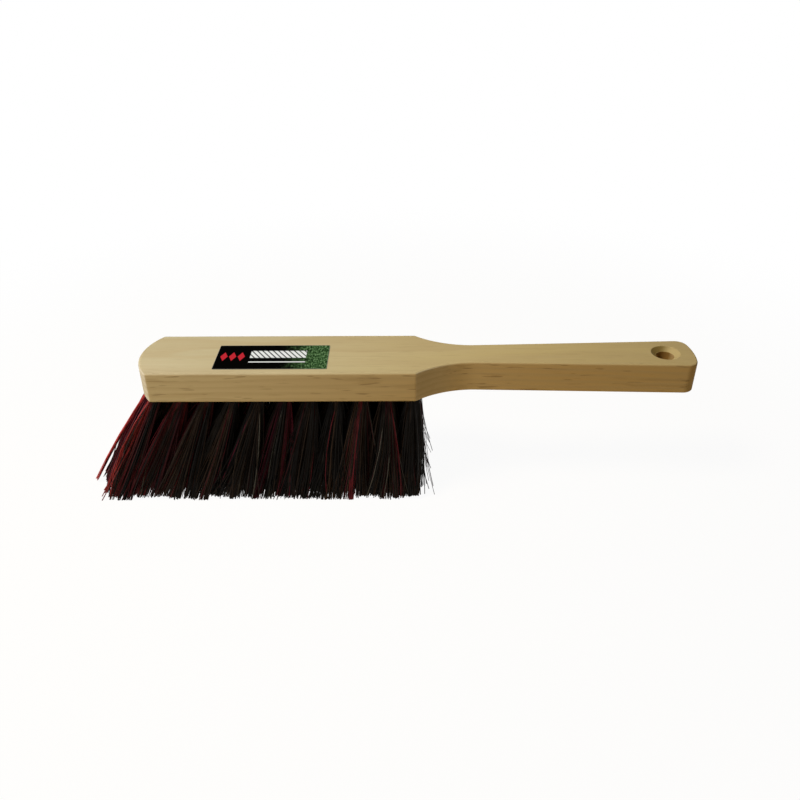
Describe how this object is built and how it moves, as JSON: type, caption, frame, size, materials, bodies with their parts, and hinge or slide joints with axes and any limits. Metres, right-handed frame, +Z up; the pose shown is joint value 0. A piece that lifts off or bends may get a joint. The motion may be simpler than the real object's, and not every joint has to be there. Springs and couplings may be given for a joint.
{
  "type": "hand brush",
  "caption": "Wooden hand brush: flat board with a round-nosed block, necked handle and hang hole, slanted rows of coarse bristle tufts held by wire staples.",
  "frame": {"origin": "on the plane that the trimmed bristle tips stand on, under the middle of the overall length", "axes": "+X from the nose towards the handle, +Y across the block to its back side, +Z up from the tips to the wood"},
  "size_m": [0.3902, 0.0684, 0.0903],
  "materials": {
    "wood": "sanded, bare",
    "bristle": "satin",
    "staple_wire": "drawn wire",
    "label": "printed, semi-gloss"
  },
  "bodies": {
    "root": {"stock": "wood", "label": "label", "tuft_row_1": "bristle", "tuft_row_2": "bristle", "tuft_row_3": "bristle", "tuft_row_4": "bristle", "staple_row_1_01": "staple_wire", "staple_row_1_02": "staple_wire", "staple_row_1_03": "staple_wire", "staple_row_1_04": "staple_wire", "staple_row_1_05": "staple_wire", "staple_row_1_06": "staple_wire", "staple_row_1_07": "staple_wire", "staple_row_1_08": "staple_wire", "staple_row_1_09": "staple_wire", "staple_row_1_10": "staple_wire", "staple_row_1_11": "staple_wire", "staple_row_2_01": "staple_wire", "staple_row_2_02": "staple_wire", "staple_row_2_03": "staple_wire", "staple_row_2_04": "staple_wire", "staple_row_2_05": "staple_wire", "staple_row_2_06": "staple_wire", "staple_row_2_07": "staple_wire", "staple_row_2_08": "staple_wire", "staple_row_2_09": "staple_wire", "staple_row_2_10": "staple_wire", "staple_row_2_11": "staple_wire", "staple_row_3_01": "staple_wire", "staple_row_3_02": "staple_wire", "staple_row_3_03": "staple_wire", "staple_row_3_04": "staple_wire", "staple_row_3_05": "staple_wire", "staple_row_3_06": "staple_wire", "staple_row_3_07": "staple_wire", "staple_row_3_08": "staple_wire", "staple_row_3_09": "staple_wire", "staple_row_3_10": "staple_wire", "staple_row_3_11": "staple_wire", "staple_row_4_01": "staple_wire", "staple_row_4_02": "staple_wire", "staple_row_4_03": "staple_wire", "staple_row_4_04": "staple_wire", "staple_row_4_05": "staple_wire", "staple_row_4_06": "staple_wire", "staple_row_4_07": "staple_wire", "staple_row_4_08": "staple_wire", "staple_row_4_09": "staple_wire", "staple_row_4_10": "staple_wire", "staple_row_4_11": "staple_wire"}
  },
  "joints": []
}
